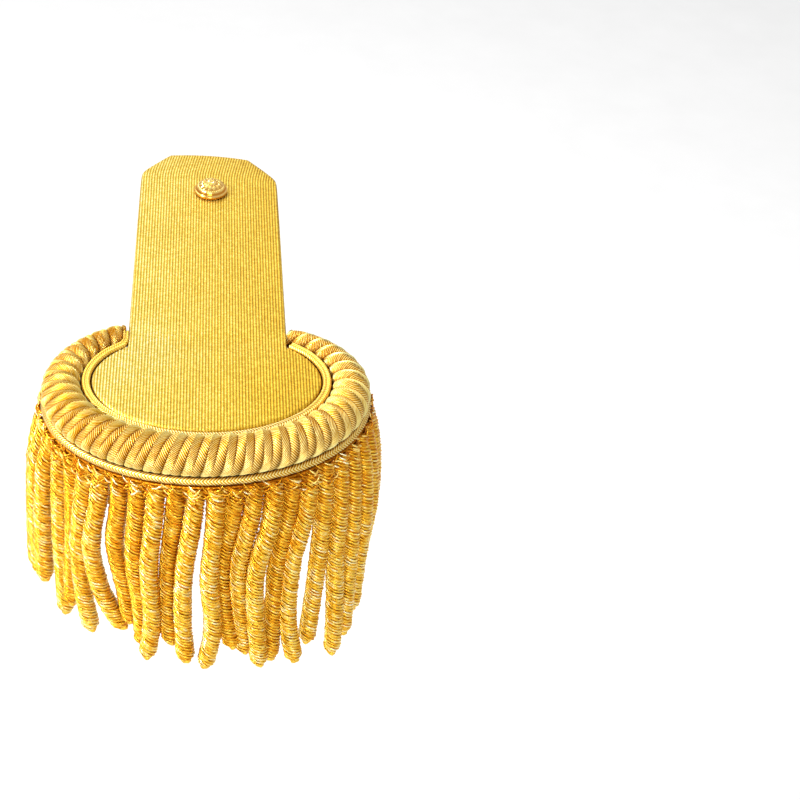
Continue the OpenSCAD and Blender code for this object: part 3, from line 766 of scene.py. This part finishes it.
def make_outer():
    """Round braid, its stitches in four slanted rows that meet in points."""
    sides, end_q = 20, ROLL_END_Q - 4
    _, length = even_q(end_q, lambda a: outer_place(a)[0], 10)
    count = int(length / OUTER_PITCH) * STITCH_ROWS
    q, _ = even_q(end_q, lambda a: outer_place(a)[0], count)
    r, z = outer_place(q)
    r, z = r - OUTER_IN, z + OUTER_UP
    plan, normal = rim_point(q, r), rim_normal(q)
    t = np.arange(sides) / sides
    thread = np.arange(count)[:, None] / STITCH_ROWS + np.abs((t * 4) % 2 - 1) * LEAN_OUTER
    stitch = 1 - np.abs((thread % 1) * 2 - 1)
    groove = 0.12 * (1 - np.abs(np.sin(2 * np.pi * t)) ** 0.5)
    radius = OUTER_D / 2 * (1 - groove)[None] + 0.34 * (stitch - 0.5)
    a = 2 * np.pi * t[None] + math.radians(36)
    section = np.stack([np.cos(a) * radius, np.sin(a) * radius], -1)
    co = sweep(plan, z, normal, section)
    uv = np.stack([thread, np.broadcast_to(t, (count, sides))], -1)
    # Painted shade: a little all round, and dark in a narrow line where it lies against the roll
    openness = 0.86 - 0.72 * np.exp(-((np.degrees(a) % 360 - 136) / 18) ** 2)
    shade = np.stack([np.broadcast_to(openness, co.shape[:2]), np.full(co.shape[:2], 0.6)], -1)
    soup = Soup()
    soup.grid(co, uv, 0, True, shade)
    soup.cap(co[0], co[-1])
    return soup.make("outer_braid", [BRAID])


# ---- Fringe: heading and coiled strands ----

# Threads wound side by side round a strand, how far each goes down in one turn, and rows to a turn
STARTS, LEAD, TURN_ROWS = 14, 10.5, 12
# Half thickness of a thread, outwards and along the strand, and how far the strand is puffed up
WIRE_R, WIRE_Z, PUFF = 0.4, 0.36, 0.4
# The winding ends this far above the strand's tip, and its knob goes on from there
KNOB_L = 3.0
PIECES = (("strands_left", range(0, 12)), ("strands_front", range(12, 24)),
          ("strands_right", range(24, 36)))
# Rows of twisted ends below the braid: how far down, and their size
HEADING_ROWS = ((0.7, 1.0), (1.8, 1.0), (2.9, 1.0), (4.0, 1.0), (5.2, 0.9), (6.5, 0.9), (7.9, 0.8))
TWIST_L, TWIST_R = 2.3, 0.38


def strand_route(i, q):
    """Five places down the middle of strand i, the same as in the solids."""
    row, n = SWAY[i], rim_normal(q)
    p = strand_plan(q)
    top = heading_top(q) - HEADING_H * STRAND_ROOT
    drop = FRINGE_L * row[5] + HEADING_H * (1 - STRAND_ROOT)
    places = [(0, 0, 0), (row[0] * 0.3, row[3] * 0.7, 0.18), (row[0], row[3], 0.45),
              (row[1], lerp(row[3], row[4], 0.6), 0.75), (row[2], row[4], 1)]
    return np.array([[p[0] + (x + n[0] * out) * STRAND_D, p[1] + n[1] * out * STRAND_D, top - drop * s]
                     for x, out, s in places])


def route_at(route, s):
    """Places on a smooth curve through the points of route, s counting them."""
    i = np.minimum(np.floor(s).astype(int), len(route) - 2)
    t = (s - i)[:, None]
    a, b = route[np.maximum(i - 1, 0)], route[i]
    c, d = route[i + 1], route[np.minimum(i + 2, len(route) - 1)]
    square, cube = 2 * a - 5 * b + 4 * c - d, 3 * b - a - 3 * c + d
    return 0.5 * (2 * b + (c - a) * t + square * t ** 2 + cube * t ** 3)


def centre_line(i, q):
    """A function that gives places by their distance down the strand, and the strand's length."""
    fine = route_at(strand_route(i, q), np.linspace(0, 4, 161))
    # The root is drawn up to the braid
    rise = HEADING_H * STRAND_ROOT * np.linspace(1, 0, 6, endpoint=False)[:, None]
    fine = np.concatenate([fine[0] + UP * rise, fine])
    run = np.concatenate([[0], np.cumsum(np.linalg.norm(np.diff(fine, axis=0), axis=1))])

    def at(s):
        return np.stack([np.interp(s, run, fine[:, k]) for k in range(3)], -1)

    return at, run[-1]


def frames(at, s, out):
    """Directions along the line, outwards and across, at each distance s."""
    step = 0.5
    tangent = unit(at(s + step) - at(s - step) + np.array([0, 0, -1e-6]))
    a = unit(out - tangent * (tangent @ out)[:, None])
    return tangent, a, np.cross(tangent, a)


def wobble(s, period, amount, seeded):
    """Random unevenness at distances s of 0 to 140 mm, with one draw for each period."""
    knots = np.arange(0, 140, period)
    return np.interp(s, knots, seeded.uniform(-amount, amount, len(knots)))


def strand(soup, i, q, seeded):
    """Adds strand i at angle q: a core, the threads wound round it, and the knob at its tip."""
    at, length = centre_line(i, q)
    out = np.append(rim_normal(q), 0)
    body = length - KNOB_L
    # -1 at the left end of the fringe, 1 at the right end; and how far out the strand hangs
    at_side, hangs_out = q / FRINGE_END_Q, SWAY[i][3]

    def swell(s):
        tip = 1 - 0.3 * smooth((s - (body - 1.4)) / 1.6)
        return tip * (1 + wobble(s, 6.0, 0.035, np.random.default_rng(100 + i)))

    # Core
    s = np.linspace(0, body, 26)
    tangent, a, b = frames(at, s, out)
    turn = circle(8)
    ring = a[:, None] * np.cos(turn)[None, :, None] + b[:, None] * np.sin(turn)[None, :, None]
    radius = (STRAND_D / 2 + PUFF - 0.75) * swell(s)
    co = at(s)[:, None] + ring * radius[:, None, None]
    uv = grid_uv(s, turn / FULL_TURN)
    soup.grid(co, uv, 2, True)
    # Threads wound side by side, bright and deep in turn
    for start in range(STARTS):
        steps = int(body / LEAD * TURN_ROWS)
        s = np.linspace(0.1, body, steps)
        s = s + wobble(s, 0.9, 0.34, seeded)
        tangent, a, b = frames(at, s, out)
        phi = -(s / LEAD * 2 * np.pi + start * 2 * np.pi / STARTS + i * 1.7)
        radial = a * np.cos(phi)[:, None] + b * np.sin(phi)[:, None]
        lift = wobble(s, 0.8, 0.2, seeded)
        # Every second thread is a deeper one, in the darker material of painted shade, and lies further in
        bright = start % 2 == 0
        rho = (STRAND_D / 2 + PUFF - WIRE_R) * swell(s) + lift + (0.05 if bright else -0.2)
        p = at(s) + radial * rho[:, None]
        along = unit(np.gradient(p, axis=0))
        across = unit(np.cross(along, radial))
        w = circle(5)
        from_end = np.minimum(np.arange(steps), np.arange(steps)[::-1])
        thick = np.minimum(1, from_end / 3 + 0.3)[:, None]
        co = (p[:, None] + radial[:, None] * (WIRE_R * np.cos(w)[None] * thick)[..., None]
              + across[:, None] * (WIRE_Z * np.sin(w)[None] * thick)[..., None])
        run = np.concatenate([[0], np.cumsum(np.linalg.norm(np.diff(p, axis=0), axis=1))])
        uv = grid_uv(run, w / FULL_TURN)
        # Painted shadow: deepest below the braid, most on the right, and in strands that hang far in; the
        # tone is also a little lower to the left and higher to the right
        right = max(at_side, 0)
        shadow = (0.22 + 0.58 * right) * np.exp(-s / (10 + 22 * right)) + 0.22 * (hangs_out < 0.15)
        tone = 0.52 + 0.06 * at_side - shadow + wobble(s, 0.7, 0.6, seeded)
        # The openness paints shade in on each thread's inner side
        openness = 0.2 + 0.8 * smooth(np.cos(w) * 0.6 + 0.7)
        shade = np.stack(np.broadcast_arrays(openness[None], tone[:, None]), -1)
        soup.grid(co, uv, 0 if bright else 1, True, shade)
    # End knob, with a little painted shade
    s = np.array([body])
    tangent, a, b = frames(at, s, out)
    lat, lon = np.radians(np.linspace(-70, 90, 8)), circle(10)
    flat = a[0] * np.cos(lon)[:, None] + b[0] * np.sin(lon)[:, None]
    shape = np.cos(lat)[:, None, None] * flat[None] * 2.0 + np.sin(lat)[:, None, None] * tangent[0] * 1.9
    shape *= (1 + 0.1 * np.sin(3 * lon + i))[None, :, None]
    co = at(s)[0] + tangent[0] * 1.2 + shape
    uv = grid_uv(np.arange(8) * 0.6, lon / FULL_TURN)
    soup.grid(co, uv, 0, True, (0.85, 0.35))


def make_fringe():
    """The strands as three pieces, and the angle of each strand."""
    qs, _ = even_q(FRINGE_END_Q, lambda a: outer_place(a)[0] - STRAND_INSET * STRAND_D, STRANDS)
    made = []
    for name, span in PIECES:
        soup = Soup()
        for i in span:
            strand(soup, i, qs[i], np.random.default_rng(1000 + i))
        made.append(soup.make(name, [BRIGHT, SHADED_BULLION, CORE]))
    return made, qs


def make_heading(qs):
    """The tape under the roll, pleated outside, and rows of short twisted ends of thread on it."""
    count = 12 * STRANDS
    q, length = even_q(FRINGE_END_Q, lambda a: outer_place(a)[0], count)
    r, top = outer_place(q)[0], heading_top(q)
    out = r + OUTER_D * 0.3
    inner = out - STRAND_D / 2
    pleat = 0.35 * np.abs(np.sin(np.arange(count) * np.pi / 3))
    places = [(np.full(count, -HEADING_LAP), np.full(count, -GAP))]
    places += [roll_place(q, t, 2 * GAP) for t in (220, 240, 260, 280)]
    places += [(r - OUTER_D / 2, top), (out - 0.4, top), (out + pleat, top - 0.4),
               (out + pleat, top - HEADING_H * 0.5), (out + pleat * 0.5 - 0.3, top - HEADING_H),
               (inner, top - HEADING_H), (inner, top - HEADING_T)]
    places += [roll_place(q, t, 2 * GAP + HEADING_T) for t in (260, 240, 220)]
    places += [(np.full(count, -HEADING_LAP), np.full(count, -GAP - HEADING_T))]
    co = np.stack([strip3(rim_point(q, a), b) for a, b in places], 1)
    uv = grid_uv(np.arange(count) * length / count, np.arange(len(places)) * 0.5)
    soup = Soup()
    # The tape, in the core material, lies in painted shade
    soup.grid(co, uv, 2, True, (0.3, 0.3))
    soup.cap(co[0], co[-1], 2)
    # Twisted ends of thread that join the strands under the braid
    seeded = np.random.default_rng(5)
    for row, (drop, size) in enumerate(HEADING_ROWS):
        for k in range(2 * STRANDS - 1):
            # On each strand and between each two; the lower rows leave many out
            i, half = divmod(k, 2)
            if row > 3 and seeded.random() < (0.75 if half else 0.3):
                continue
            qq = qs[i] if half == 0 else (qs[i] + qs[i + 1]) / 2
            qq = qq + seeded.uniform(-0.6, 0.6)
            rr = outer_place(qq)[0] + (2.8 if half == 0 else 1.5) + 0.15 * row + seeded.uniform(-0.4, 0.4)
            zz = heading_top(qq) - drop + seeded.uniform(-0.4, 0.4)
            nn = rim_normal(qq)
            side = np.array([-nn[1], nn[0], 0.0])
            way = 1 if seeded.random() < 0.75 else -1
            axis = unit(side * way - UP * seeded.uniform(0.3, 1.2))
            outward = np.append(nn, 0)
            s = np.linspace(-1, 1, 7)
            path = (np.append(rim_point(qq, rr), zz) + axis * s[:, None] * TWIST_L * size
                    - outward * (s ** 2)[:, None] * 1.1)
            side_v = np.cross(axis, outward)
            w = circle(6)
            thick = TWIST_R * np.sqrt(1 - (s * 0.9) ** 2)
            ring = outward * np.cos(w)[:, None] + side_v * np.sin(w)[:, None]
            co = path[:, None] + ring[None] * thick[:, None, None]
            uv = grid_uv(s * TWIST_L + k, w / FULL_TURN)
            # Painted highlights on about a quarter of the ends, painted shade on the rest
            painted_light = (0.6, 0.25) if seeded.random() < 0.72 else (1.0, 1.0)
            soup.grid(co, uv, 0 if seeded.random() < 0.4 else 1, True, painted_light)
    return soup.make("heading", [BRIGHT, SHADED_BULLION, CORE])


# ---- Button: gilt dome with a wreath and a rosette ----

def make_button():
    """The whole button: the disc and shank under it, the rim, and the dome with its relief."""
    seat, edge = BOARD_T + CROWN_H + GAP, BUTTON_D / 2
    dome_r = edge * 0.9
    lon = circle(144)
    rs = np.linspace(0.999, 0.004, 44)
    r, a = np.meshgrid(rs, lon, indexing="ij")
    base = seat + RIM_H * 0.9 + DOME_H * np.sqrt(1 - (r * 0.985) ** 2)

    def ring(middle, reach):
        """1 at the radius middle, falling to 0 at reach to both sides of it."""
        return np.maximum(0, 1 - ((r - middle) / reach) ** 2)

    leaves = ring(0.62 + 0.05 * np.cos(14 * a), 0.13) * np.maximum(0, np.sin(14 * a + r * 9)) ** 0.6
    stem = ring(0.6, 0.035) * 0.5
    petals = ring(0.22, 0.16) * np.abs(np.cos(3 * a)) ** 0.7
    heart = ring(0, 0.09)
    cord = ring(0.88, 0.06) * (0.6 + 0.4 * np.sin(40 * a + r * 60))
    relief = 0.42 * leaves + 0.25 * stem + 0.5 * petals + 0.5 * heart + 0.35 * cord
    dome = np.stack([r * dome_r * np.cos(a), r * dome_r * np.sin(a), base + relief - 0.12], -1)
    # Painted shade in the relief's low places, and more near the dome's edge
    hollow = np.clip(relief / 0.1, 0, 1) * 0.6 + 0.4 - 0.3 * smooth((r - 0.85) / 0.15)
    # Outline below the dome: the holding disc, the shank through the strap, the rim
    low = np.array([[0.02, -GAP - FOOT_T], [FOOT_D / 2 - 0.3, -GAP - FOOT_T],
                    [FOOT_D / 2, -GAP - FOOT_T / 2], [FOOT_D / 2 - 0.2, -GAP],
                    [SHANK_D / 2, -GAP], [SHANK_D / 2, seat], [dome_r, seat],
                    [edge * 0.985, seat + RIM_H * 0.12], [edge, seat + RIM_H * 0.35],
                    [edge, seat + RIM_H * 0.65], [edge * 0.985, seat + RIM_H * 0.88],
                    [edge * 0.95, seat + RIM_H], [edge * 0.915, seat + RIM_H * 0.98]])
    radius, level = low[:, :1], low[:, 1:]
    band = np.stack([radius * np.cos(lon), radius * np.sin(lon), level * np.ones_like(lon)], -1)
    co = np.concatenate([band, dome]) + np.array([BUTTON_X, BUTTON_Y, 0])
    # Openness of the outline's places, which paints shade in: little up to the rim's foot, more towards its
    # top
    below = np.repeat([0.05, 0.3, 0.6], [8, 2, len(low) - 10])[:, None] * np.ones_like(lon)
    shade = np.stack([np.concatenate([below, hollow]), np.full(co.shape[:2], 0.5)], -1)
    soup = Soup()
    soup.grid(co, None, 0, True, shade)
    n = len(lon)
    soup.add(np.concatenate([co[0], co[-1]]), [list(range(n))[::-1], list(range(n, 2 * n))], None, 0)
    return soup.make("embossed_button", [GILT])


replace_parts(make_cloth(), "strap_board")
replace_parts(make_roll(), "crescent_roll")
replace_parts(make_inner(), "inner_piping")
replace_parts(make_outer(), "outer_piping")
strands, strand_qs = make_fringe()
for piece in strands + [make_heading(strand_qs)]:
    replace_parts(piece, "fringe")
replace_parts(make_button(), "button")
# The tongue's own solid shows, in brass
tongue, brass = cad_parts["fixing_tongue"], brass_material()
for place in tongue.material_slots:
    place.material = brass
if not tongue.material_slots:
    tongue.data.materials.append(brass)


# ---- Floor, light and camera ----

FLOOR_HALF, FLOOR_Z = 4.0, -0.45
WORLD_LIGHT = 0.85
# The photograph's frame is a square of this many pixels
FRAME_PX, SENSOR_MM = 800, 36.0


def make_floor():
    mesh = bpy.data.meshes.new("floor")
    s, z = FLOOR_HALF, FLOOR_Z
    mesh.from_pydata([(-s, -s, z), (s, -s, z), (s, s, z), (-s, s, z)], [], [(0, 1, 2, 3)])
    n = Nodes("floor")
    grain = n.noise(30.0, 2.0)
    pale = n.ramp(grain, [(0.0, (0.72, 0.72, 0.72)), (1.0, (0.76, 0.76, 0.76))])
    n.finish(pale, rough=0.9, metallic=0.0)
    mesh.materials.append(n.mat)
    floor = bpy.data.objects.new("floor", mesh)
    bpy.context.scene.collection.objects.link(floor)


def area_light(name, place, target, size, power):
    data = bpy.data.lights.new(name, "AREA")
    data.shape, data.size, data.energy = "DISK", size, power
    lamp = bpy.data.objects.new(name, data)
    lamp.location = place
    lamp.rotation_euler = (Vector(target) - Vector(place)).to_track_quat("-Z", "Y").to_euler()
    bpy.context.scene.collection.objects.link(lamp)


make_floor()
area_light("key", (-0.95, -0.32, 0.75), (0, 0, 0), 0.3, 24)
area_light("back", (-0.30, 0.95, 1.0), (0, 0.03, 0), 0.7, 7)
area_light("front", (-0.15, -1.1, 0.40), (0, -0.03, -0.03), 0.6, 6)

world = bpy.data.worlds.new("studio")
world.use_nodes = True
background = world.node_tree.nodes["Background"]
background.inputs[0].default_value = (1, 1, 1, 1)
background.inputs[1].default_value = WORLD_LIGHT
bpy.context.scene.world = world
bpy.context.scene.view_settings.view_transform = "Standard"


def place_camera():
    """The camera that fits the photograph: focal length in pixels, angles, and where the origin lies."""
    focal, distance, origin_px = 1800.0, 0.685, (207.6, 351.8)
    el, az, roll = math.radians(38.5), math.radians(7.5), math.radians(4.9)
    forward = Vector((math.sin(az) * math.cos(el), math.cos(az) * math.cos(el), -math.sin(el)))
    right = Vector((math.cos(az), -math.sin(az), 0))
    up = right.cross(forward)
    across = math.cos(roll) * right + math.sin(roll) * up
    above = -math.sin(roll) * right + math.cos(roll) * up
    x, y = (origin_px[0] - FRAME_PX / 2) / focal, -(origin_px[1] - FRAME_PX / 2) / focal
    place = -(forward + across * x + above * y) * distance
    data = bpy.data.cameras.new("camera")
    data.sensor_width, data.lens = SENSOR_MM, SENSOR_MM * focal / FRAME_PX
    data.clip_start, data.clip_end = 0.01, 20
    camera = bpy.data.objects.new("camera", data)
    basis = Matrix((across, above, -forward)).transposed()
    camera.matrix_world = Matrix.Translation(place) @ basis.to_4x4()
    bpy.context.scene.collection.objects.link(camera)
    bpy.context.scene.camera = camera


place_camera()
